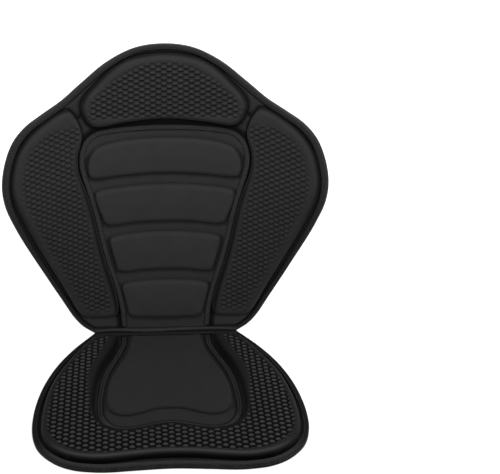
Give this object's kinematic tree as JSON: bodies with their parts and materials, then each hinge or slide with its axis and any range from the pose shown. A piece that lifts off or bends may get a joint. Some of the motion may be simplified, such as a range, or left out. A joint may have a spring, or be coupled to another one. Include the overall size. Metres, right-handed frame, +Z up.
{
  "type": "kayak seat",
  "caption": "Padded kayak seat: moulded foam cushion with a U-shaped bolster and a winged backrest with head pad, side bolsters and lumbar pads on a sewn hinge.",
  "frame": {"origin": "middle of the cushion's underside, on the surface that the seat rests on", "axes": "+Z up, -Y the way the sitter faces, +X to the right as seen by someone who faces the seat's front"},
  "size_m": [0.4746, 0.4085, 0.4594],
  "materials": {
    "laminate": "matte black fabric laminated on moulded foam",
    "tape": "matte black woven tape",
    "grip_fabric": "matte black coated fabric",
    "foam": "closed-cell foam",
    "board": "matte",
    "webbing": "black woven webbing"
  },
  "bodies": {
    "seat": {"seat_bottom_cover": "grip_fabric", "seat_foam_board": "foam", "seat_outer_panel": "laminate", "seat_centre_panel": "laminate", "seat_centre_tape": "tape", "seat_edge_binding": "tape", "hinge_tape": "tape"},
    "back": {"back_rear_cover": "grip_fabric", "back_stiffener_board": "board", "back_outer_panel": "laminate", "back_centre_panel": "laminate", "back_centre_tape": "tape", "back_edge_binding": "tape", "rear_webbing_upper": "webbing", "rear_webbing_lower": "webbing"}
  },
  "joints": [
    {"name": "back_fold", "type": "hinge", "parent": "seat", "child": "back", "pos_m": [0, 0.1555, 0.0098], "axis": [1, 0, 0], "range_deg": [-73, 56], "deforming": ["hinge_tape"]}
  ]
}
